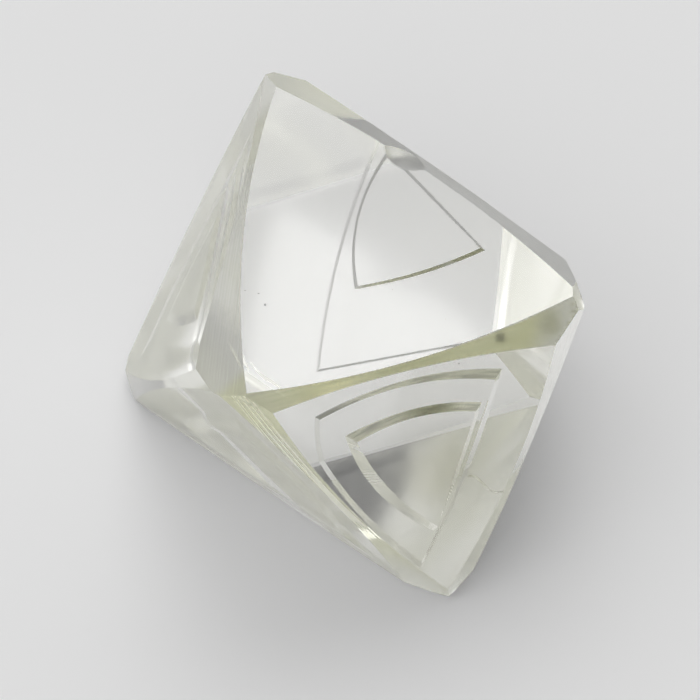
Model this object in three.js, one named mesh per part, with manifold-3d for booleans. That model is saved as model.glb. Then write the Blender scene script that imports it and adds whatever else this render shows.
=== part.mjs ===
// A rough diamond octahedron that lies on one of its eight faces.
// Millimetres and degrees, +Z up. The origin is under the middle of the stone, at the resting face.

import * as THREE from 'three';
import Module from 'manifold-3d';
import { ConvexGeometry } from 'three/addons/geometries/ConvexGeometry.js';
import { mergeVertices } from 'three/addons/utils/BufferGeometryUtils.js';

const wasm = await Module();
wasm.setup();

const UP = new THREE.Vector3(0, 0, 1);
const SAME_POINT = 1e-5;

// The eight faces: the way each one looks, and how far it lies from the crystal's centre. The
// crystal grew a little unevenly, so two of its corners are short ridges.
const FACES = {
  top: { azimuth: 0, elevation: 90, distance: 2.70 },
  front: { azimuth: 297, elevation: 18, distance: 3.20 },
  left: { azimuth: 180, elevation: 23, distance: 2.92 },
  backRight: { azimuth: 58, elevation: 20, distance: 2.79 },
  lowRight: { azimuth: 2, elevation: -17, distance: 2.80 },
  lowLeft: { azimuth: 241, elevation: -16, distance: 2.73 },
  lowBack: { azimuth: 120, elevation: -20, distance: 3.03 },
  bottom: { azimuth: 0, elevation: -90, distance: 2.22 },
};
const BLOCK_SIDE = 30;

// Each edge is dissolved into a strip that is thin near its middle and widens to the corners, so
// its surface is part of a large cylinder lying across the edge. Depth is measured below the sharp
// edge at the thinnest place. Shift moves that place along the edge, and lean turns the strip from
// midway towards the second face.
const EDGES = [
  { between: ['top', 'front'], depth: 0.05, radius: 23, shift: -0.3, lean: 0 },
  { between: ['top', 'left'], depth: 0.05, radius: 28, shift: -1.3, lean: 0 },
  { between: ['top', 'backRight'], depth: 0.11, radius: 32, shift: -0.4, lean: 0 },
  { between: ['top', 'lowLeft'], depth: 0.03, radius: 8, shift: 0, lean: 0 },
  { between: ['top', 'lowRight'], depth: 0.06, radius: 6, shift: 0, lean: 0 },
  { between: ['front', 'lowRight'], depth: 0.10, radius: 24, shift: 0, lean: 0 },
  { between: ['front', 'lowLeft'], depth: 0.06, radius: 24, shift: 0, lean: 12 },
  { between: ['left', 'lowLeft'], depth: 0.05, radius: 30, shift: 0, lean: 0 },
  { between: ['left', 'lowBack'], depth: 0.04, radius: 36, shift: 0, lean: 0 },
  { between: ['backRight', 'lowBack'], depth: 0.06, radius: 32, shift: 0, lean: 0 },
  { between: ['backRight', 'lowRight'], depth: 0.08, radius: 26, shift: 0, lean: 0 },
  { between: ['bottom', 'lowLeft'], depth: 0.02, radius: 60, shift: 0, lean: 0 },
  { between: ['bottom', 'lowRight'], depth: 0.02, radius: 60, shift: 0, lean: 0 },
  { between: ['bottom', 'lowBack'], depth: 0.02, radius: 60, shift: 0, lean: 0 },
];
const STRIP_HALF_LENGTH = 5.5;
const STRIP_STEPS = 26;

// What a strip's cutter leaves reaches past the far side of the stone, and across it.
const CUTTER_DEPTH = 9;
const CUTTER_WIDTH = 14;

// Plain stacks of terraces share a bulge, as a part of their reach, and a riser width.
const STACK_BULGE = 0.08;
const STACK_RISER = 0.14;

// Growth terraces: low plates on the faces, with bulging sides and a sloping riser. Corners are
// measured on the face from the foot of the crystal's centre, to the right and up, and run
// anticlockwise. Each bulge belongs to the side that starts at that corner. The level holds at that
// foot, and a leaning plate's climb is what its level gains per millimetre to the right and up.
const TERRACES = [
  {
    face: 'top', level: 0.012, riser: 0.03,
    corners: [[-0.27, -2.54], [4.4, -0.68], [0.02, 2.3]], bulges: [0, 0.5, 0.17],
  },
  {
    face: 'top', level: 0.05, riser: 0.07,
    corners: [[0.05, -0.94], [2.0, 0.18], [0.15, 1.95]], bulges: [0.09, 0, 0.25],
  },
  {
    face: 'front', level: 0.0485, climb: [0.0135, -0.006], riser: 0.12,
    corners: [[-1.50, 1.28], [-1.60, 0.38], [-0.15, -2.42], [1.51, 1.26]], bulges: [0.03, 0.13, 0.13, 0.27],
  },
  {
    face: 'front', level: 0.13, riser: 0.14,
    corners: [[-1.20, 0.80], [0.09, -1.78], [1.22, 0.84]], bulges: [0.28, 0.09, 0.19],
  },
  ...terraceStack({ face: 'left', turn: 270, centre: [0.2, 0.1], reaches: [2.7, 1.7], step: 0.04 }),
  ...terraceStack({ face: 'backRight', turn: 270, centre: [-0.2, 0.1], reaches: [2.7, 1.8], step: 0.015 }),
  ...terraceStack({ face: 'lowLeft', turn: 90, centre: [0.1, 0.1], reaches: [2.5], step: 0.04 }),
];
const TERRACE_ROOT = 0.2;
const SIDE_STEPS = 10;

// Corners worn blunt: the sharp corner, the way it points, the depth of the rounded tip below it
// and the radius of that tip. Past the tip the surface spreads out faster than the stone does. Its
// rings crowd together towards the tip.
const CORNERS = [
  { corner: [3.77, -0.43, 2.70], azimuth: 5, elevation: 35, depth: 0.21, radius: 0.8 },
];
const CORNER_RINGS = 16;
const CORNER_CROWDING = 4;
const CORNER_SIDES = 36;
const CORNER_FLARE = 1.5;
const CORNER_REACH = 12;

// A shell-shaped chip in the edge between the top and the back right face.
const CHIP = { centre: [0.585, 2.067, 3.44], radius: 0.89, detail: 14 };

// A fine open crack on the front face. It runs down beside the right side of the inner terrace,
// then steps off the outer one and winds across the face to the edge.
const CRACK = [
  { level: 0.06, curve: [[1.21, 0.74], [1.04, 0.30], [0.83, -0.20], [0.64, -0.66]] },
  { level: 0, curve: [[0.80, -0.74], [1.05, -0.8], [1.0, -1.22], [1.36, -1.27]] },
];
const CRACK_RADIUS = 0.02;
const CRACK_STEPS = 16;
const CRACK_SIDES = 6;

function towards(azimuth, elevation) {
  const turn = THREE.MathUtils.degToRad(azimuth);
  const lift = THREE.MathUtils.degToRad(elevation);
  return new THREE.Vector3(Math.cos(lift) * Math.cos(turn), Math.cos(lift) * Math.sin(turn), Math.sin(lift));
}

// A frame on a face: X to the right and Y up along the face as it is looked at, Z outward.
function faceFrame({ azimuth, elevation, distance }) {
  const outward = towards(azimuth, elevation);
  const level = Math.abs(elevation) === 90;
  const right = level ? new THREE.Vector3(1, 0, 0) : UP.clone().cross(outward).normalize();
  const along = outward.clone().cross(right);
  const foot = outward.clone().multiplyScalar(distance);
  return new THREE.Matrix4().makeBasis(right, along, outward).setPosition(foot);
}

function solid(geometry) {
  const bare = geometry.clone();
  bare.deleteAttribute('normal');
  bare.deleteAttribute('uv');
  const merged = mergeVertices(bare, SAME_POINT);
  return new wasm.Manifold(new wasm.Mesh({
    numProp: 3,
    vertProperties: new Float32Array(merged.attributes.position.array),
    triVerts: new Uint32Array(merged.index.array),
  }));
}

function geometryOf(body) {
  const mesh = body.getMesh();
  const geometry = new THREE.BufferGeometry();
  geometry.setAttribute('position', new THREE.BufferAttribute(mesh.vertProperties, 3));
  geometry.setIndex(new THREE.BufferAttribute(mesh.triVerts, 1));
  return geometry;
}

// Everything below one face, as a large block under it.
function belowFace(face) {
  const block = new THREE.BoxGeometry(BLOCK_SIDE, BLOCK_SIDE, BLOCK_SIDE);
  block.translate(0, 0, -BLOCK_SIDE / 2);
  return solid(block.applyMatrix4(faceFrame(face)));
}

function sharpOctahedron() {
  return Object.values(FACES).map(belowFace).reduce((body, block) => body.intersect(block));
}

// The point of the sharp edge between two faces that is nearest to the crystal's centre.
function edgeFoot(first, second, along) {
  const rows = new THREE.Matrix3().set(
    first.outward.x, first.outward.y, first.outward.z,
    second.outward.x, second.outward.y, second.outward.z,
    along.x, along.y, along.z,
  );
  return new THREE.Vector3(first.distance, second.distance, 0).applyMatrix3(rows.invert());
}

// Everything below the worn strip of one edge: an arc over a deep block, X along the edge, Y outward.
function belowStrip({ between, depth, radius, shift, lean }) {
  const [first, second] = between
    .map((name) => FACES[name])
    .map(({ azimuth, elevation, distance }) => ({ outward: towards(azimuth, elevation), distance }));
  const along = first.outward.clone().cross(second.outward).normalize();
  const outward = first.outward.clone().add(second.outward).normalize();
  outward.applyAxisAngle(along, THREE.MathUtils.degToRad(lean));
  const reach = Math.asin(STRIP_HALF_LENGTH / radius);
  const outline = new THREE.Shape();
  outline.absarc(shift, -depth - radius, radius, Math.PI / 2 - reach, Math.PI / 2 + reach, false);
  outline.lineTo(shift - STRIP_HALF_LENGTH, -CUTTER_DEPTH);
  outline.lineTo(shift + STRIP_HALF_LENGTH, -CUTTER_DEPTH);
  outline.closePath();
  const cutter = new THREE.ExtrudeGeometry(outline, {
    depth: CUTTER_WIDTH, bevelEnabled: false, curveSegments: STRIP_STEPS,
  });
  cutter.translate(0, 0, -CUTTER_WIDTH / 2);
  const place = new THREE.Matrix4().makeBasis(along, outward, along.clone().cross(outward));
  return solid(cutter.applyMatrix4(place.setPosition(edgeFoot(first, second, along))));
}

// Terraces of one shape, each smaller and higher than the last. Turn is the way that the first
// corner points on the face.
function terraceStack({ face, turn, centre, reaches, step }) {
  return reaches.map((reach, index) => {
    const corners = [0, 120, 240].map((angle) => {
      const way = THREE.MathUtils.degToRad(turn + angle);
      return [centre[0] + reach * Math.cos(way), centre[1] + reach * Math.sin(way)];
    });
    const bulge = STACK_BULGE * reach;
    return { face, corners, bulges: [bulge, bulge, bulge], level: step * (index + 1), riser: STACK_RISER };
  });
}

function terraceOutline(corners, bulges) {
  const points = corners.map(([x, y]) => new THREE.Vector2(x, y));
  const outline = new THREE.Shape();
  outline.moveTo(points[0].x, points[0].y);
  points.forEach((start, index) => {
    const end = points[(index + 1) % points.length];
    const side = end.clone().sub(start);
    const outward = new THREE.Vector2(side.y, -side.x).normalize();
    const bend = start.clone().add(end).multiplyScalar(0.5).addScaledVector(outward, 2 * bulges[index]);
    outline.quadraticCurveTo(bend.x, bend.y, end.x, end.y);
  });
  return outline;
}

// Lean a plate's top, which gains height by so much per millimetre to the right and up the face.
function lean(plate, level, [right, up]) {
  const place = plate.attributes.position;
  for (let index = 0; index < place.count; index += 1) {
    const height = place.getZ(index);
    const gain = right * place.getX(index) + up * place.getY(index);
    place.setZ(index, height + (Math.max(height, 0) / level) * gain);
  }
}

// A low plate on a face. Its root lies in the crystal, and its riser slopes in to a flat top.
function terrace({ face, corners, bulges, level, riser, climb = [0, 0] }) {
  const plate = new THREE.ExtrudeGeometry(terraceOutline(corners, bulges), {
    depth: TERRACE_ROOT,
    bevelEnabled: true,
    bevelThickness: level,
    bevelSize: riser,
    bevelOffset: -riser,
    bevelSegments: 1,
    curveSegments: SIDE_STEPS,
  });
  plate.translate(0, 0, -TERRACE_ROOT);
  lean(plate, level, climb);
  return solid(plate.applyMatrix4(faceFrame(FACES[face])));
}

// Everything inside a blunt cone whose rounded tip lies a little below one corner.
function belowCorner({ corner, azimuth, elevation, depth, radius }) {
  const outward = towards(azimuth, elevation);
  const points = [];
  for (let ring = 1; ring <= CORNER_RINGS; ring += 1) {
    const down = CORNER_REACH * (ring / CORNER_RINGS) ** CORNER_CROWDING;
    const around = Math.sqrt(2 * radius * down) + CORNER_FLARE * down;
    for (let side = 0; side < CORNER_SIDES; side += 1) {
      const turn = (2 * Math.PI * side) / CORNER_SIDES;
      points.push(new THREE.Vector3(around * Math.cos(turn), around * Math.sin(turn), -down));
    }
  }
  const tilt = new THREE.Quaternion().setFromUnitVectors(UP, outward);
  const tip = new THREE.Vector3(...corner).addScaledVector(outward, -depth);
  return solid(new ConvexGeometry(points).applyQuaternion(tilt).translate(tip.x, tip.y, tip.z));
}

function chip() {
  const { centre, radius, detail } = CHIP;
  return solid(new THREE.IcosahedronGeometry(radius, detail).translate(...centre));
}

function crackLength({ level, curve }) {
  const points = curve.map(([x, y]) => new THREE.Vector3(x, y, level));
  const section = new THREE.Shape().absarc(0, 0, CRACK_RADIUS, 0, 2 * Math.PI);
  const groove = new THREE.ExtrudeGeometry(section, {
    extrudePath: new THREE.CubicBezierCurve3(...points),
    steps: CRACK_STEPS,
    curveSegments: CRACK_SIDES,
  });
  return solid(groove.applyMatrix4(faceFrame(FACES.front)));
}

function crystal() {
  const block = sharpOctahedron();
  const terraced = TERRACES.map(terrace).reduce((body, plate) => body.add(plate), block);
  const cutters = [...EDGES.map(belowStrip), ...CORNERS.map(belowCorner)];
  const worn = cutters.reduce((body, cutter) => body.intersect(cutter), terraced);
  const damage = [chip(), ...CRACK.map(crackLength)];
  return geometryOf(damage.reduce((body, gap) => body.subtract(gap), worn));
}

const diamond = new THREE.Mesh(crystal(), new THREE.MeshStandardMaterial({
  color: 0xf1f2e2,
  roughness: 0.05,
  metalness: 0,
  transparent: true,
  opacity: 0.45,
}));
diamond.name = 'diamond_crystal';

// Stand the stone on z = 0, over the middle of its own outline.
diamond.geometry.computeBoundingBox();
const box = diamond.geometry.boundingBox;
diamond.geometry.translate(-(box.min.x + box.max.x) / 2, -(box.min.y + box.max.y) / 2, -box.min.z);

const group = new THREE.Group();
group.add(diamond);
export default group;
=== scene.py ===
# A rough diamond octahedron on white paper under soft studio light.
# Shapes are made in millimetres about the crystal's centre, then placed in metres in the row frame.

import random
from math import atan2, cos, pi, radians, sin, sqrt

import bmesh
import bpy
from mathutils import Matrix, Vector


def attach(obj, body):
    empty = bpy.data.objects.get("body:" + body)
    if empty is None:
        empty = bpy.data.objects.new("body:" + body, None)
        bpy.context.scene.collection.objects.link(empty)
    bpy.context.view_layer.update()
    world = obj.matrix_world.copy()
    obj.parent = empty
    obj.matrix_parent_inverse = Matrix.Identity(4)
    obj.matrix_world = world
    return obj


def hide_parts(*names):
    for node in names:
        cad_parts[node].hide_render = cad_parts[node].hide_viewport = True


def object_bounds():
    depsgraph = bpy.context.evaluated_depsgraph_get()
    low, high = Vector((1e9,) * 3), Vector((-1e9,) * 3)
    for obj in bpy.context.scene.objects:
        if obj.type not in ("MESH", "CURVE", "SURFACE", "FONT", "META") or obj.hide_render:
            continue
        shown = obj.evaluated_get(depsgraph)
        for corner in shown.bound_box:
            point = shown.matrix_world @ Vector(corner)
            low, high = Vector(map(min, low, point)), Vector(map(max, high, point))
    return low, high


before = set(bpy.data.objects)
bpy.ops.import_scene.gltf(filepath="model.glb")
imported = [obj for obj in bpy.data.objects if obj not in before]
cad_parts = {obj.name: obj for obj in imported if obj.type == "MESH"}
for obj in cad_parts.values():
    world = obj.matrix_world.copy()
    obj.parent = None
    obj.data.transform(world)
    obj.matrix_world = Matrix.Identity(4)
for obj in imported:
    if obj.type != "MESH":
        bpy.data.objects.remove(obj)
cad_low, cad_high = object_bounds()

MM = 0.001
UP = Vector((0, 0, 1))
CRYSTAL_CENTRE = Vector((0.1575, -0.0393, 2.22))
# The fine stone is smaller than its CAD box by this much, about the box's middle.
FINE_SCALE = 0.9995

# The eight faces: azimuth and elevation of the outward direction, and distance from the centre.
FACES = {
    "top": (0, 90, 2.70),
    "front": (297, 18, 3.20),
    "left": (180, 23, 2.92),
    "back_right": (58, 20, 2.79),
    "low_right": (2, -17, 2.80),
    "low_left": (241, -16, 2.73),
    "low_back": (120, -20, 3.03),
    "bottom": (0, -90, 2.22),
}

# The dissolved edges: the two faces, depth where the strip is thinnest, radius, shift along the
# edge, and lean about it in degrees.
EDGES = [
    ("top", "front", 0.05, 23, -0.3, 0),
    ("top", "left", 0.05, 28, -1.3, 0),
    ("top", "back_right", 0.11, 32, -0.4, 0),
    ("top", "low_left", 0.03, 8, 0, 0),
    ("top", "low_right", 0.06, 6, 0, 0),
    ("front", "low_right", 0.10, 24, 0, 0),
    ("front", "low_left", 0.06, 24, 0, 12),
    ("left", "low_left", 0.05, 30, 0, 0),
    ("left", "low_back", 0.04, 36, 0, 0),
    ("back_right", "low_back", 0.06, 32, 0, 0),
    ("back_right", "low_right", 0.08, 26, 0, 0),
    ("bottom", "low_left", 0.02, 60, 0, 0),
    ("bottom", "low_right", 0.02, 60, 0, 0),
    ("bottom", "low_back", 0.02, 60, 0, 0),
]
# Ridge height of the strips that are finely striated.
RIDGES = {
    ("top", "front"): 0.0016,
    ("top", "left"): 0.0012,
    ("front", "low_left"): 0.0016,
    ("front", "low_right"): 0.0016,
}
# The ridges' least and greatest width, and the same for their share of the full height.
RIDGE_PITCH = (0.04, 0.11)
RIDGE_SHARE = (0.1, 1.0)
# No ridge starts nearer to the strip's far side than this.
RIDGE_END_GAP = 0.12
STRIP_HALF_LENGTH = 5.5
STRIP_STEPS = 90
STRIP_HALF_WIDTH = 1.0
CUTTER_DEPTH = 9.0
CUTTER_HALF_WIDTH = 7.0
# The block that the eight face planes cut the stone from.
BLOCK_SIZE = 30

# Growth terraces: face, level at the face's centre, how much the level climbs per millimetre to
# the right and up, then the outline of the foot and of the lip. An outline is its corners on the
# face, anticlockwise, and how far each side bulges.
TERRACES = [
    (
        "top", 0.008, (0, 0),
        [(-0.29, -2.57), (4.4, -0.68), (-0.01, 2.3)], [0, 0.5, 0.17],
        [(-0.24, -2.51), (4.3, -0.68), (0.05, 2.2)], [0, 0.5, 0.17],
    ),
    (
        "top", 0.020, (0.015, 0),
        [(0.03, -0.95), (2.01, 0.18), (0.14, 1.97)], [0.09, 0, 0.25],
        [(0.10, -0.85), (1.91, 0.18), (0.19, 1.79)], [0.08, 0, 0.24],
    ),
    (
        "front", 0.0485, (0.0135, -0.006),
        [(-1.60, 1.28), (-1.62, 0.36), (-0.15, -2.42), (1.51, 1.26)], [0.03, 0.13, 0.13, 0.27],
        [(-1.53, 1.22), (-1.54, 0.38), (-0.13, -2.22), (1.36, 1.12)], [0.03, 0.12, 0.08, 0.28],
    ),
    (
        "front", 0.13, (0, 0),
        [(-1.20, 0.80), (0.09, -1.78), (1.22, 0.84)], [0.28, 0.09, 0.19],
        [(-1.00, 0.66), (0.17, -1.50), (0.98, 0.64)], [0.14, 0.00, 0.20],
    ),
]
# Plain stacks of terraces: face, turn in degrees, centre, reach of each plate's corners, and step.
STACKS = [
    ("left", 270, (0.2, 0.1), [2.7, 1.7], 0.04),
    ("back_right", 270, (-0.2, 0.1), [2.7, 1.8], 0.015),
    ("low_left", 90, (0.1, 0.1), [2.5], 0.04),
    ("low_right", 90, (0.2, 0.1), [2.6], 0.025),
    ("low_back", 90, (-0.2, 0.3), [2.4], 0.006),
]
STACK_BULGE = 0.08
STACK_RISER = 0.40
MELTED_STEPS = 10
TERRACE_ROOT = 0.2
SIDE_STEPS = 40
STRAIGHT_RISER = [(0, 0), (1, 1)]

# The sky's even strength, and lobes on it: azimuth, elevation, inner and outer radius in degrees,
# and strength.
SKY_BASE = 0.54
SKY_LOBES = [
    (120, 70, 10, 65, 0.55),
    (97, 59, 3, 22, 1.5),
    (0, 56, 20, 42, -0.65),
    (-120, 35, 15, 60, 0.28),
]

LIGHT_BOUNCES = 32

DIAMOND_IOR = 2.417
# What the crystal absorbs per metre: colour and density.
BODY_COLOUR = (0.997, 0.998, 0.955, 1)
BODY_DENSITY = 100
CLEAR = (1, 1, 1, 1)
WORN_TINT = (0.90, 0.91, 0.52, 1)
# Olive painted shade on one side of some terrace risers.
RISER_SHADE_TINT = (0.62, 0.63, 0.44, 1)
LINE_SHADE_TINT = (0.10, 0.10, 0.07, 1)
# How near to a terrace's level counts as flat.
FLATNESS = 0.002

# Fades in millimetres: where a mask is 0, then where it is 1. First come depths below faces.
# A worn place lies below every face.
WORN = (0.003, 0.009)
# The worn strips are tinted near the front face, away from the low right face and from the foot.
NEAR_FRONT = (0.8, 0.5)
OFF_LOW_RIGHT = (0.3, 0.9)
OFF_FOOT = (0.5, 1.5)
# They have their full tint near the top face, and this share of it further down.
NEAR_TOP = (1.0, 0.6)
LOWER_TINT_SHARE = 0.6
FROSTED = (0.3, 0.1)
BRIGHT = (0.6, 0.2)
# On the top face: to the right of the inner terrace's left side, and below its right corner.
RIGHT_OF_SIDE = (0.10, 0.22)
BELOW_CORNER = (0.24, 0.20)
# On the front face: up from a terrace's right corner, and how wide the fade at a mitre is.
ABOVE_CORNER = (-0.20, -0.16)
MITRE_FADE = 0.02

# Dark lines of painted shade along the olive risers of the front face, which carry painted shade too:
# pitch, length and the noise that they show in.
LINE_PITCH = 0.016
LINE_LENGTH = 0.6
LINE_NOISE = (0.46, 0.56)
LINE_DETAIL = 2
# They have their full strength at the left, and this share of it at the right.
LINES_TO_LEFT = (0.6, -0.9)
LINES_RIGHT_SHARE = 0.7

# Roughness of each face that is slightly frosted. The top and front faces are bright.
FROST = {
    "left": 0.09,
    "back_right": 0.12,
    "low_right": 0.12,
    "low_left": 0.09,
    "low_back": 0.09,
    "bottom": 0.16,
}
BRIGHT_ROUGHNESS = 0.02
RISER_ROUGHNESS = 0.05
FAR_SIDE_ROUGHNESS = 0.25
CHIP_ROUGHNESS = 0.25
# The chip is rough out to this share of its radius, then fades.
CHIP_ROUGH_SHARE = 1.01
CHIP_FADE_SHARE = 1.03
# The worn strip between the top and the front face is yellower in the middle: place and radius.
YELLOW_PLACE = (0.00, -2.82, 2.62)
YELLOW_RADIUS = 0.9
YELLOW_TINT = (0.80, 0.78, 0.34, 1)
# Darker patches: place, radius and tint. Two are dark spots by the right corner, and the third is painted
# shade: the olive patch on the front face.
DARK_PATCHES = [
    ((2.46, -1.39, 2.61), 0.16, (0.22, 0.22, 0.15, 1)),
    ((3.24, -0.99, 2.62), 0.34, (0.55, 0.55, 0.40, 1)),
    ((1.70, -2.78, 0.66), 1.3, (0.62, 0.61, 0.49, 1)),
]
# The share of a patch's radius that has its full tint.
PATCH_CORE = 0.12

# Rounded corners: sharp corner, azimuth and elevation of the way it points, depth and tip radius.
CORNERS = [
    ((3.77, -0.43, 2.70), 5, 35, 0.21, 0.8),
]
CORNER_STEPS = 40
CORNER_SIDES = 96
CORNER_FLARE = 1.5
# The rings stand closer together towards the tip by this power.
CORNER_CROWDING = 4
CUTTER_LENGTH = 12.0

CHIP_CENTRE = Vector((0.585, 2.067, 3.44))
CHIP_RADIUS = 0.89

# A fine open crack on the front face. It runs down beside the right side of the inner terrace,
# then steps off the outer one and winds across the face to the edge: level and curve of each part.
CRACK = [
    (0.06, [(1.21, 0.74), (1.04, 0.30), (0.83, -0.20), (0.64, -0.66)]),
    (0, [(0.80, -0.74), (1.05, -0.80), (1.00, -1.22), (1.36, -1.27)]),
]
CRACK_RADIUS = 0.018
CRACK_STEPS = 40
CRACK_SIDES = 10

# Healed cracks sealed in the stone: centre, half lengths, and how far each is turned and tipped.
FEATHERS = [
    ((-1.53, -2.38, 2.45), (0.30, 0.05, 0.006), 125, 35),
    ((-0.95, -2.80, 2.42), (0.34, 0.04, 0.005), 150, 40),
    ((-1.20, -2.62, 2.30), (0.22, 0.05, 0.005), 135, 60),
]
# Waves round a healed crack's rim: how many, and how high as a share of its size.
LONG_WAVES = (3, 0.12)
SHORT_WAVES = (7, 0.07)
# Dark pinpoints under the top face: centre and half length.
PINPOINTS = [
    ((-1.44, -1.22, 2.62), 0.020),
    ((-1.30, -1.41, 2.60), 0.024),
    ((-1.66, -1.20, 2.64), 0.012),
    ((0.65, -0.81, 2.66), 0.010),
    ((0.79, -0.93, 2.66), 0.008),
    ((-0.60, 0.40, 2.20), 0.010),
    ((1.55, -1.05, 1.90), 0.012),
]
PINPOINT_JITTER = 0.3
PINPOINT_SEED = 7
PINPOINT_DARK = (0.03, 0.03, 0.02, 1)
PINPOINT_LIGHT = (0.16, 0.13, 0.09, 1)
PINPOINT_PATCHES_PER_MM = 60
PINPOINT_ROUGHNESS = 0.5

# The paper, in metres: half its width, and the gap that keeps it clear of the resting face.
PAPER_HALF_WIDTH = 0.3
PAPER_GAP = 0.00002
PAPER_COLOUR = (0.92, 0.92, 0.92, 1)
PAPER_ROUGHNESS = 0.9
PAPER_SPECULAR = 0.2


def towards(azimuth, elevation):
    """The direction with this azimuth and elevation in degrees."""
    turn, lift = radians(azimuth), radians(elevation)
    return Vector((cos(lift) * cos(turn), cos(lift) * sin(turn), sin(lift)))


def face_frame(name):
    """A face's own axes: to the right, up its slope, and out of it."""
    azimuth, elevation, distance = FACES[name]
    outward = towards(azimuth, elevation)
    right = Vector((1, 0, 0)) if abs(elevation) == 90 else UP.cross(outward).normalized()
    along = outward.cross(right)
    return Matrix.Translation(outward * distance) @ basis(right, along, outward)


def basis(x_axis, y_axis, z_axis):
    return Matrix((x_axis, y_axis, z_axis)).transposed().to_4x4()


def new_object(name, bm):
    bmesh.ops.recalc_face_normals(bm, faces=bm.faces[:])
    mesh = bpy.data.meshes.new(name)
    bm.to_mesh(mesh)
    bm.free()
    piece = bpy.data.objects.new(name, mesh)
    bpy.context.scene.collection.objects.link(piece)
    return piece


def lofted(name, rings, place):
    """A closed body through rings of points, capped at both ends."""
    bm = bmesh.new()
    loops = [[bm.verts.new(place @ Vector(point)) for point in ring] for ring in rings]
    count = len(loops[0])
    for lower, upper in zip(loops, loops[1:]):
        for i in range(count):
            j = (i + 1) % count
            bm.faces.new((lower[i], lower[j], upper[j], upper[i]))
    bm.faces.new(list(reversed(loops[0])))
    bm.faces.new(loops[-1])
    return new_object(name, bm)


def combine(body, cutter, operation):
    """Join the cutter to the body, or cut the body with it, and remove the cutter."""
    modifier = body.modifiers.new("combine", "BOOLEAN")
    modifier.operation = operation
    modifier.object = cutter
    modifier.solver = "MANIFOLD"
    graph = bpy.context.evaluated_depsgraph_get()
    mesh = bpy.data.meshes.new_from_object(body.evaluated_get(graph))
    body.modifiers.clear()
    body.data = mesh
    bpy.data.objects.remove(cutter)


def sharp_octahedron():
    """The body between the eight face planes."""
    bm = bmesh.new()
    bmesh.ops.create_cube(bm, size=BLOCK_SIZE)
    for azimuth, elevation, distance in FACES.values():
        outward = towards(azimuth, elevation)
        everything = bm.verts[:] + bm.edges[:] + bm.faces[:]
        cut = bmesh.ops.bisect_plane(
            bm, geom=everything, plane_co=outward * distance, plane_no=outward, clear_outer=True
        )
        rim = [item for item in cut["geom_cut"] if isinstance(item, bmesh.types.BMEdge)]
        bmesh.ops.edgeloop_fill(bm, edges=rim)
    return new_object("diamond", bm)


def strip_profile(seed, ridge):
    """The worn strip's section: fine irregular ridges along the edge."""
    if not ridge:
        return [(-CUTTER_HALF_WIDTH, 0.0), (CUTTER_HALF_WIDTH, 0.0)]
    dice = random.Random(seed)
    points = [(-CUTTER_HALF_WIDTH, 0.0), (-STRIP_HALF_WIDTH, 0.0)]
    across = -STRIP_HALF_WIDTH
    while across < STRIP_HALF_WIDTH - RIDGE_END_GAP:
        pitch = dice.uniform(*RIDGE_PITCH)
        height = dice.uniform(*RIDGE_SHARE) * ridge
        points.append((across + pitch / 2, -height))
        points.append((across + pitch, 0.0))
        across += pitch
    points.append((CUTTER_HALF_WIDTH, 0.0))
    return points


def strip_cutter(first, second, depth, radius, shift, lean, seed):
    """Everything inside a long arched surface that wears one edge down to a convex strip."""
    n1, n2 = (towards(*FACES[name][:2]) for name in (first, second))
    d1, d2 = (FACES[name][2] for name in (first, second))
    along = n1.cross(n2).normalized()
    foot = Matrix((n1, n2, along)).inverted() @ Vector((d1, d2, 0))
    outward = (n1 + n2).normalized()
    outward.rotate(Matrix.Rotation(radians(lean), 3, along))
    place = Matrix.Translation(foot) @ basis(along, outward, along.cross(outward))
    ridge = RIDGES.get((first, second), 0)
    profile = strip_profile(seed, ridge)
    rings = []
    for step in range(STRIP_STEPS + 1):
        s = STRIP_HALF_LENGTH * (2 * step / STRIP_STEPS - 1)
        crest = -depth - radius + sqrt(radius * radius - s * s)
        ring = [(shift + s, crest + height, across) for across, height in profile]
        ring.append((shift + s, -CUTTER_DEPTH, CUTTER_HALF_WIDTH))
        ring.append((shift + s, -CUTTER_DEPTH, -CUTTER_HALF_WIDTH))
        rings.append(ring)
    return lofted("strip", rings, place)


def terrace_outline(corners, bulges):
    """Points round corners that bowed sides join."""
    points = []
    for index, bulge in enumerate(bulges):
        start, end = Vector(corners[index]), Vector(corners[(index + 1) % len(corners)])
        side = end - start
        outward = Vector((side.y, -side.x)).normalized()
        bend = (start + end) / 2 + outward * 2 * bulge
        for step in range(SIDE_STEPS):
            t = step / SIDE_STEPS
            points.append(start * (1 - t) ** 2 + bend * 2 * t * (1 - t) + end * t * t)
    return points


def terrace(face, level, climb, foot, lip, profile):
    """One raised growth plate. The profile runs up its riser: way from foot to lip, share of height."""

    def ring(way, share):
        points = [foot_point.lerp(lip_point, way) for foot_point, lip_point in zip(foot, lip)]
        return [(*point, share * (level + point.dot(Vector(climb)))) for point in points]

    rings = [[(*point, -TERRACE_ROOT) for point in foot]]
    for way, share in profile:
        rings.append(ring(way, share))
    return lofted("terrace", rings, face_frame(face))


def melted_riser():
    """A riser rounded off at its foot and its lip."""
    ways = [step / MELTED_STEPS for step in range(MELTED_STEPS + 1)]
    return [(way, (1 - cos(pi * way)) / 2) for way in ways]


def terrace_stack(face, turn, centre, reaches, step):
    """Terraces of one shape, each smaller and higher than the last."""

    def outline(reach):
        angles = [radians(turn + corner) for corner in (0, 120, 240)]
        corners = [(centre[0] + reach * cos(angle), centre[1] + reach * sin(angle)) for angle in angles]
        return terrace_outline(corners, [STACK_BULGE * reach] * 3)

    plates = []
    for index, reach in enumerate(reaches):
        foot = outline(reach)
        # A triangle's sides lie half as far out as its corners, so the corners move in by twice the riser.
        lip = outline(reach - 2 * STACK_RISER)
        plates.append(terrace(face, step * (index + 1), (0, 0), foot, lip, melted_riser()))
    return plates


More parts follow.
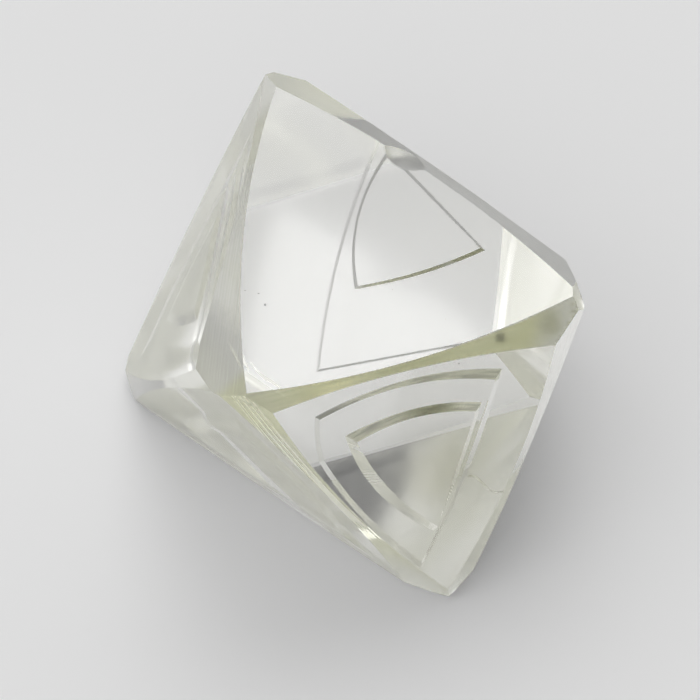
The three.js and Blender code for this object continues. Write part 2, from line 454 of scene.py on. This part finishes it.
def corner_cutter(corner, azimuth, elevation, depth, radius):
    """Everything inside a blunt cone whose rounded tip lies a little below one corner."""
    outward = towards(azimuth, elevation)
    side = outward.orthogonal().normalized()
    place = Matrix.Translation(Vector(corner) - outward * depth) @ basis(side, outward.cross(side), outward)
    rings = []
    for step in range(1, CORNER_STEPS + 1):
        down = CUTTER_LENGTH * (step / CORNER_STEPS) ** CORNER_CROWDING
        around = sqrt(2 * radius * down) + CORNER_FLARE * down
        rings.append([
            (around * cos(2 * pi * turn / CORNER_SIDES), around * sin(2 * pi * turn / CORNER_SIDES), -down)
            for turn in range(CORNER_SIDES)
        ])
    return lofted("corner", list(reversed(rings)), place)


def chip():
    """The ball whose hollow is the shell-shaped chip."""
    bm = bmesh.new()
    bmesh.ops.create_icosphere(bm, subdivisions=5, radius=CHIP_RADIUS)
    bmesh.ops.translate(bm, vec=CHIP_CENTRE, verts=bm.verts[:])
    return new_object("chip", bm)


def crack_length(level, curve):
    """A fine tube along one curve of the crack, half sunk in the front face."""
    start, first, second, end = (Vector(point) for point in curve)
    rings = []
    for step in range(CRACK_STEPS + 1):
        t = step / CRACK_STEPS
        u = 1 - t
        middle = start * u ** 3 + first * 3 * u * u * t + second * 3 * u * t * t + end * t ** 3
        heading = (first - start) * u * u + (second - first) * 2 * u * t + (end - second) * t * t
        aside = Vector((heading.y, -heading.x)).normalized()
        rings.append([
            (*(middle + aside * CRACK_RADIUS * cos(turn)), level + CRACK_RADIUS * sin(turn))
            for turn in (2 * pi * side / CRACK_SIDES for side in range(CRACK_SIDES))
        ])
    return lofted("crack", rings, face_frame("front"))


def feather(centre, half_lengths, turn, tip):
    """A healed crack: a gap as thin as a leaf, with a wavy rim."""
    bm = bmesh.new()
    bmesh.ops.create_icosphere(bm, subdivisions=4, radius=1)
    long_count, long_height = LONG_WAVES
    short_count, short_height = SHORT_WAVES
    for vert in bm.verts:
        angle = atan2(vert.co.y, vert.co.x)
        long_wave = long_height * sin(long_count * angle + turn)
        vert.co *= 1 + long_wave + short_height * sin(short_count * angle)
    turned = Matrix.Rotation(radians(turn), 4, "Z") @ Matrix.Rotation(radians(tip), 4, "X")
    bmesh.ops.transform(
        bm, verts=bm.verts[:],
        matrix=Matrix.Translation(centre) @ turned @ Matrix.Diagonal((*half_lengths, 1)),
    )
    return new_object("feather", bm)


def in_row_frame():
    """From millimetres about the crystal's centre to the row frame, just inside the CAD box."""
    middle = Matrix.Translation((cad_low + cad_high) / 2)
    shrunk = middle @ Matrix.Scale(FINE_SCALE, 4) @ middle.inverted()
    return shrunk @ Matrix.Scale(MM, 4) @ Matrix.Translation(CRYSTAL_CENTRE)


def pinpoints():
    """Tiny dark crystals sealed in the stone, all in one piece."""
    dice = random.Random(PINPOINT_SEED)
    bm = bmesh.new()
    for centre, half_length in PINPOINTS:
        grain = bmesh.ops.create_icosphere(bm, subdivisions=2, radius=half_length)["verts"]
        for vert in grain:
            vert.co *= 1 + dice.uniform(-PINPOINT_JITTER, PINPOINT_JITTER)
        bmesh.ops.translate(bm, vec=centre, verts=grain)
    bmesh.ops.transform(bm, matrix=in_row_frame(), verts=bm.verts[:])
    return new_object("pinpoints", bm)


def crystal():
    """The whole stone, as one closed body in the row frame."""
    body = sharp_octahedron()
    for face, level, climb, foot_corners, foot_bulges, lip_corners, lip_bulges in TERRACES:
        foot = terrace_outline(foot_corners, foot_bulges)
        lip = terrace_outline(lip_corners, lip_bulges)
        combine(body, terrace(face, level, climb, foot, lip, STRAIGHT_RISER), "UNION")
    for stack in STACKS:
        for plate in terrace_stack(*stack):
            combine(body, plate, "UNION")
    for seed, edge in enumerate(EDGES):
        combine(body, strip_cutter(*edge, seed), "INTERSECT")
    for corner in CORNERS:
        combine(body, corner_cutter(*corner), "INTERSECT")
    combine(body, chip(), "DIFFERENCE")
    for level, curve in CRACK:
        combine(body, crack_length(level, curve), "DIFFERENCE")
    for healed_crack in FEATHERS:
        combine(body, feather(*healed_crack), "DIFFERENCE")
    body.data.transform(in_row_frame())
    return body


def maths(nodes, links, operation, *operands):
    """One math node. An operand is a number or the socket that it comes from."""
    node = nodes.new("ShaderNodeMath")
    node.operation = operation
    for index, operand in enumerate(operands):
        if isinstance(operand, bpy.types.NodeSocket):
            links.new(operand, node.inputs[index])
        else:
            node.inputs[index].default_value = operand
    return node.outputs[0]


def smooth_step(nodes, links, value, start, end, low=0.0, high=1.0):
    fade = nodes.new("ShaderNodeMapRange")
    fade.interpolation_type = "SMOOTHSTEP"
    fade.inputs["From Min"].default_value = start
    fade.inputs["From Max"].default_value = end
    fade.inputs["To Min"].default_value = low
    fade.inputs["To Max"].default_value = high
    links.new(value, fade.inputs["Value"])
    return fade.outputs["Result"]


def product(nodes, links, first, *others):
    """The product of several masks."""
    for other in others:
        first = maths(nodes, links, "MULTIPLY", first, other)
    return first


def inverse(nodes, links, mask):
    return maths(nodes, links, "SUBTRACT", 1, mask)


def along_axis(nodes, links, coordinate, axis):
    """How far a coordinate reaches along an axis."""
    dot = nodes.new("ShaderNodeVectorMath")
    dot.operation = "DOT_PRODUCT"
    dot.inputs[1].default_value = axis
    links.new(coordinate, dot.inputs[0])
    return dot.outputs["Value"]


def depths_under_faces(nodes, links):
    """How far below each face's plane a point of the stone lies, in millimetres."""
    coordinates = nodes.new("ShaderNodeTexCoord")
    depths = {}
    for name, (azimuth, elevation, distance) in FACES.items():
        outward = towards(azimuth, elevation)
        reach = along_axis(nodes, links, coordinates.outputs["Object"], outward / MM)
        plane = distance + CRYSTAL_CENTRE.dot(outward)
        depths[name] = maths(nodes, links, "SUBTRACT", plane, reach)
    return depths


def point_over_face(nodes, links, depths, name):
    """Where a point lies over one face: to the right, up, and out of its plane, in millimetres."""
    coordinates = nodes.new("ShaderNodeTexCoord")
    frame_on_face = face_frame(name)
    point = []
    for axis in (frame_on_face.col[0].xyz, frame_on_face.col[1].xyz):
        reach = along_axis(nodes, links, coordinates.outputs["Object"], axis / MM)
        point.append(maths(nodes, links, "SUBTRACT", reach, CRYSTAL_CENTRE.dot(axis)))
    point.append(maths(nodes, links, "MULTIPLY", depths[name], -1.0))
    return point


def terraces_on(face):
    return [plate for plate in TERRACES if plate[0] == face]


def terrace_level(nodes, links, point, level, climb):
    """How high a leaning terrace's flat lies over a point of its face."""
    right, up, _ = point
    level = maths(nodes, links, "MULTIPLY_ADD", right, climb[0], level)
    return maths(nodes, links, "MULTIPLY_ADD", up, climb[1], level)


def riser_mask(nodes, links, point, face):
    """1 on the risers of the terraces of one face, 0 on its flats and below its plane."""
    height = point[2]
    mask = smooth_step(nodes, links, height, FLATNESS, 2 * FLATNESS)
    for _, level, climb, *_ in terraces_on(face):
        flat = terrace_level(nodes, links, point, level, climb)
        off_level = maths(nodes, links, "ABSOLUTE", maths(nodes, links, "SUBTRACT", height, flat))
        mask = product(nodes, links, mask, smooth_step(nodes, links, off_level, FLATNESS, 2 * FLATNESS))
    return mask


def upper_side_mask(nodes, links, point):
    """1 beside the upper sides of the front terraces: past the mitre of their upper left corners."""
    right, up, height = point
    plates = terraces_on("front")
    _, level, climb, *_ = plates[0]
    outer_level = terrace_level(nodes, links, point, level + FLATNESS, climb)
    on_inner = maths(nodes, links, "GREATER_THAN", height, outer_level)
    masks = []
    for _, _, _, foot_corners, _, lip_corners, _ in plates:
        foot, lip = Vector(foot_corners[0]), Vector(lip_corners[0])
        across = Vector((foot.y - lip.y, lip.x - foot.x)).normalized()
        along_x = maths(nodes, links, "MULTIPLY", right, across.x)
        reach = maths(nodes, links, "MULTIPLY_ADD", up, across.y, along_x)
        mitre = across.dot(foot)
        beyond = smooth_step(nodes, links, reach, mitre, mitre + MITRE_FADE)
        right_corner = foot_corners[-1]
        above = smooth_step(nodes, links, up, *(right_corner[1] + shift for shift in ABOVE_CORNER))
        masks.append(product(nodes, links, beyond, above))
    outer = product(nodes, links, masks[0], inverse(nodes, links, on_inner))
    return maths(nodes, links, "MAXIMUM", outer, product(nodes, links, masks[1], on_inner))


def inner_lower_side_mask(nodes, links, point, right_of_side):
    """1 beside the lower side of the top face's inner terrace."""
    _, up, height = point
    _, outer_level, *_ = terraces_on("top")[0]
    over_outer = smooth_step(nodes, links, height, outer_level + FLATNESS, outer_level + 2 * FLATNESS)
    below_corner = smooth_step(nodes, links, up, *BELOW_CORNER)
    return product(nodes, links, over_outer, right_of_side, below_corner)


def tinted_strip_mask(nodes, links, depths):
    """1 on the worn strips round the front face, fading towards the low right face and the foot."""
    nearest = depths["top"]
    for name in FACES:
        nearest = maths(nodes, links, "MINIMUM", nearest, depths[name])
    worn = smooth_step(nodes, links, nearest, *WORN)
    by_front = smooth_step(nodes, links, depths["front"], *NEAR_FRONT)
    off_right = smooth_step(nodes, links, depths["low_right"], *OFF_LOW_RIGHT)
    off_foot = smooth_step(nodes, links, depths["bottom"], *OFF_FOOT)
    by_top = smooth_step(nodes, links, depths["top"], *NEAR_TOP, LOWER_TINT_SHARE, 1.0)
    return product(nodes, links, worn, by_front, off_right, off_foot, by_top)


def near_place(nodes, links, place, inner, outer, low=0.0, high=1.0):
    """High within inner millimetres of a place in the crystal, fading to low at outer millimetres."""
    coordinates = nodes.new("ShaderNodeTexCoord")
    distance = nodes.new("ShaderNodeVectorMath")
    distance.operation = "DISTANCE"
    distance.inputs[1].default_value = (CRYSTAL_CENTRE + Vector(place)) * MM
    links.new(coordinates.outputs["Object"], distance.inputs[0])
    return smooth_step(nodes, links, distance.outputs["Value"], outer * MM, inner * MM, low, high)


def striations(nodes, links, across, along):
    """Fine uneven lines of painted shade: noise that is stretched along them. They are fainter at the
    right.
    """
    join = nodes.new("ShaderNodeCombineXYZ")
    links.new(maths(nodes, links, "DIVIDE", across, LINE_PITCH), join.inputs["X"])
    links.new(maths(nodes, links, "DIVIDE", along, LINE_LENGTH), join.inputs["Y"])
    noise = nodes.new("ShaderNodeTexNoise")
    noise.inputs["Scale"].default_value = 1
    noise.inputs["Detail"].default_value = LINE_DETAIL
    links.new(join.outputs["Vector"], noise.inputs["Vector"])
    lines = smooth_step(nodes, links, noise.outputs["Fac"], *LINE_NOISE)
    strength = smooth_step(nodes, links, along, *LINES_TO_LEFT, LINES_RIGHT_SHARE, 1.0)
    return product(nodes, links, lines, strength)


def mix_colour(nodes, links, factor, first, second):
    mix = nodes.new("ShaderNodeMix")
    mix.data_type = "RGBA"
    links.new(factor, mix.inputs["Factor"])
    for value, socket in ((first, mix.inputs["A"]), (second, mix.inputs["B"])):
        if isinstance(value, bpy.types.NodeSocket):
            links.new(value, socket)
        else:
            socket.default_value = value
    return mix.outputs["Result"]


def new_material(name):
    material = bpy.data.materials.new(name)
    material.use_nodes = True
    return material, material.node_tree.nodes, material.node_tree.links


def pinpoint_material():
    """Dark mineral grains, darker in patches."""
    material, nodes, links = new_material("pinpoint")
    shader = nodes["Principled BSDF"]
    noise = nodes.new("ShaderNodeTexNoise")
    noise.inputs["Scale"].default_value = PINPOINT_PATCHES_PER_MM / MM
    links.new(nodes.new("ShaderNodeTexCoord").outputs["Object"], noise.inputs["Vector"])
    colour = mix_colour(nodes, links, noise.outputs["Fac"], PINPOINT_DARK, PINPOINT_LIGHT)
    links.new(colour, shader.inputs["Base Color"])
    shader.inputs["Roughness"].default_value = PINPOINT_ROUGHNESS
    return material


def diamond_colour(nodes, links, depths, shade_on_top_risers, shade_on_front_risers, front):
    """Clear, with tinted strips, olive painted shade on some risers with darker painted lines along them,
    and darker patches, one of them painted shade.
    """
    yellow = near_place(nodes, links, YELLOW_PLACE, PATCH_CORE * YELLOW_RADIUS, YELLOW_RADIUS)
    strip_tint = mix_colour(nodes, links, yellow, WORN_TINT, YELLOW_TINT)
    tinted = tinted_strip_mask(nodes, links, depths)
    colour = mix_colour(nodes, links, tinted, CLEAR, strip_tint)
    # Painted shade: the olive tint darkens the lower side of the top face's inner terrace and the upper
    # sides of the front terraces.
    olive = maths(nodes, links, "MAXIMUM", shade_on_top_risers, shade_on_front_risers)
    colour = mix_colour(nodes, links, olive, colour, RISER_SHADE_TINT)
    # Painted shade: darker lines along the front risers that carry painted shade.
    lines = striations(nodes, links, depths["front"], front[0])
    colour = mix_colour(nodes, links, product(nodes, links, shade_on_front_risers, lines), colour, LINE_SHADE_TINT)
    # The last of these patches is painted shade on the front face.
    for place, radius, tint in DARK_PATCHES:
        spot = near_place(nodes, links, place, PATCH_CORE * radius, radius)
        colour = mix_colour(nodes, links, spot, colour, tint)
    return colour


def frost_roughness(nodes, links, depths):
    """Each frosted face's roughness near its plane, and none near the top and front faces."""
    frost = 0
    for name, roughness in FROST.items():
        on_face = smooth_step(nodes, links, depths[name], *FROSTED, 0, roughness)
        frost = maths(nodes, links, "MAXIMUM", frost, on_face)
    by_top = smooth_step(nodes, links, depths["top"], *BRIGHT)
    by_front = smooth_step(nodes, links, depths["front"], *BRIGHT)
    bright = maths(nodes, links, "MAXIMUM", by_top, by_front)
    return product(nodes, links, frost, inverse(nodes, links, bright))


def diamond_roughness(nodes, links, depths, top_risers, front_risers, right_of_side):
    """Bright faces, frosted ones, etched risers and a rough chip: the roughest of them wins."""
    risers = maths(nodes, links, "MAXIMUM", top_risers, front_risers)
    far_side = product(nodes, links, top_risers, inverse(nodes, links, right_of_side))
    etched = maths(nodes, links, "MULTIPLY", risers, RISER_ROUGHNESS)
    etched = maths(nodes, links, "MULTIPLY_ADD", far_side, FAR_SIDE_ROUGHNESS, etched)
    rim, past_rim = CHIP_ROUGH_SHARE * CHIP_RADIUS, CHIP_FADE_SHARE * CHIP_RADIUS
    chipped = near_place(nodes, links, CHIP_CENTRE, rim, past_rim, 0, CHIP_ROUGHNESS)
    roughness = BRIGHT_ROUGHNESS
    for rough_part in (frost_roughness(nodes, links, depths), etched, chipped):
        roughness = maths(nodes, links, "MAXIMUM", roughness, rough_part)
    return roughness


def diamond_material():
    """Clear diamond with a faint yellow body colour."""
    material, nodes, links = new_material("diamond")
    shader = nodes["Principled BSDF"]
    depths = depths_under_faces(nodes, links)
    top = point_over_face(nodes, links, depths, "top")
    front = point_over_face(nodes, links, depths, "front")
    top_risers = riser_mask(nodes, links, top, "top")
    front_risers = riser_mask(nodes, links, front, "front")
    right_of_side = smooth_step(nodes, links, top[0], *RIGHT_OF_SIDE)
    lower_side = inner_lower_side_mask(nodes, links, top, right_of_side)
    # Where the risers get their painted shade.
    shade_on_top_risers = product(nodes, links, top_risers, lower_side)
    shade_on_front_risers = product(nodes, links, front_risers, upper_side_mask(nodes, links, front))
    colour = diamond_colour(nodes, links, depths, shade_on_top_risers, shade_on_front_risers, front)
    links.new(colour, shader.inputs["Base Color"])
    roughness = diamond_roughness(nodes, links, depths, top_risers, front_risers, right_of_side)
    links.new(roughness, shader.inputs["Roughness"])
    shader.inputs["IOR"].default_value = DIAMOND_IOR
    shader.inputs["Transmission Weight"].default_value = 1
    absorption = nodes.new("ShaderNodeVolumeAbsorption")
    absorption.inputs["Color"].default_value = BODY_COLOUR
    absorption.inputs["Density"].default_value = BODY_DENSITY
    links.new(absorption.outputs["Volume"], nodes["Material Output"].inputs["Volume"])
    return material


def paper_material():
    """Matt white paper."""
    material, nodes, _ = new_material("paper")
    shader = nodes["Principled BSDF"]
    shader.inputs["Base Color"].default_value = PAPER_COLOUR
    shader.inputs["Roughness"].default_value = PAPER_ROUGHNESS
    shader.inputs["Specular IOR Level"].default_value = PAPER_SPECULAR
    return material


def paper_floor():
    bm = bmesh.new()
    bmesh.ops.create_grid(bm, x_segments=1, y_segments=1, size=PAPER_HALF_WIDTH)
    bmesh.ops.translate(bm, vec=(0, 0, -PAPER_GAP), verts=bm.verts[:])
    floor = new_object("paper_floor", bm)
    floor.data.materials.append(paper_material())


def lobe(nodes, links, direction, inner, outer):
    """1 within inner degrees of a direction of the sky, falling smoothly to 0 at outer degrees."""
    coordinates = nodes.new("ShaderNodeTexCoord")
    aim = along_axis(nodes, links, coordinates.outputs["Generated"], direction)
    return smooth_step(nodes, links, aim, cos(radians(outer)), cos(radians(inner)))


def studio_sky():
    """An even white tent: a broad and a small window behind the stone, a dim light at its front left,
    and a dark side to its right."""
    world = bpy.data.worlds.new("studio")
    bpy.context.scene.world = world
    world.use_nodes = True
    nodes, links = world.node_tree.nodes, world.node_tree.links
    background = nodes["Background"]
    background.inputs["Color"].default_value = (1, 1, 1, 1)
    brightness = SKY_BASE
    for azimuth, elevation, inner, outer, strength in SKY_LOBES:
        glow = lobe(nodes, links, towards(azimuth, elevation), inner, outer)
        brightness = maths(nodes, links, "MULTIPLY_ADD", glow, strength, brightness)
    links.new(brightness, background.inputs["Strength"])


def camera():
    """The photo's view. The stone's semi-axis is the unit that links its pixels to millimetres."""
    azimuth, elevation, roll = -81.48, 55.96, 0.75
    semi_axis = 4.95
    semi_axes_away = 14
    pixels_per_semi_axis = 299.4
    photo_px = 700
    centre_px = (358.65, 337.76)
    sensor_mm = 36
    back = towards(azimuth, elevation)
    level = UP.cross(back).normalized()
    lift = back.cross(level)
    right = level * cos(radians(roll)) + lift * sin(radians(roll))
    up = lift * cos(radians(roll)) - level * sin(radians(roll))
    mm_per_px = semi_axis / pixels_per_semi_axis
    aim = CRYSTAL_CENTRE - right * (centre_px[0] - photo_px / 2) * mm_per_px
    aim -= up * (photo_px / 2 - centre_px[1]) * mm_per_px
    eye = aim + back * (semi_axes_away * semi_axis)
    data = bpy.data.cameras.new("camera")
    data.sensor_width = sensor_mm
    data.lens = sensor_mm * pixels_per_semi_axis * semi_axes_away / photo_px
    data.clip_start = 0.001
    data.clip_end = 10
    view = bpy.data.objects.new("camera", data)
    view.matrix_world = Matrix.Translation(eye * MM) @ basis(right, up, back)
    bpy.context.scene.collection.objects.link(view)
    bpy.context.scene.camera = view


camera()
diamond = crystal()
# The booleans leave an empty material slot.
diamond.data.materials.clear()
diamond.data.materials.append(diamond_material())
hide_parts("diamond_crystal")
grains = pinpoints()
grains.data.materials.append(pinpoint_material())
for piece in (diamond, grains):
    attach(piece, "root")
paper_floor()
studio_sky()

scene = bpy.context.scene
scene.view_settings.view_transform = "Standard"
scene.cycles.max_bounces = LIGHT_BOUNCES
scene.cycles.glossy_bounces = LIGHT_BOUNCES
scene.cycles.transmission_bounces = LIGHT_BOUNCES
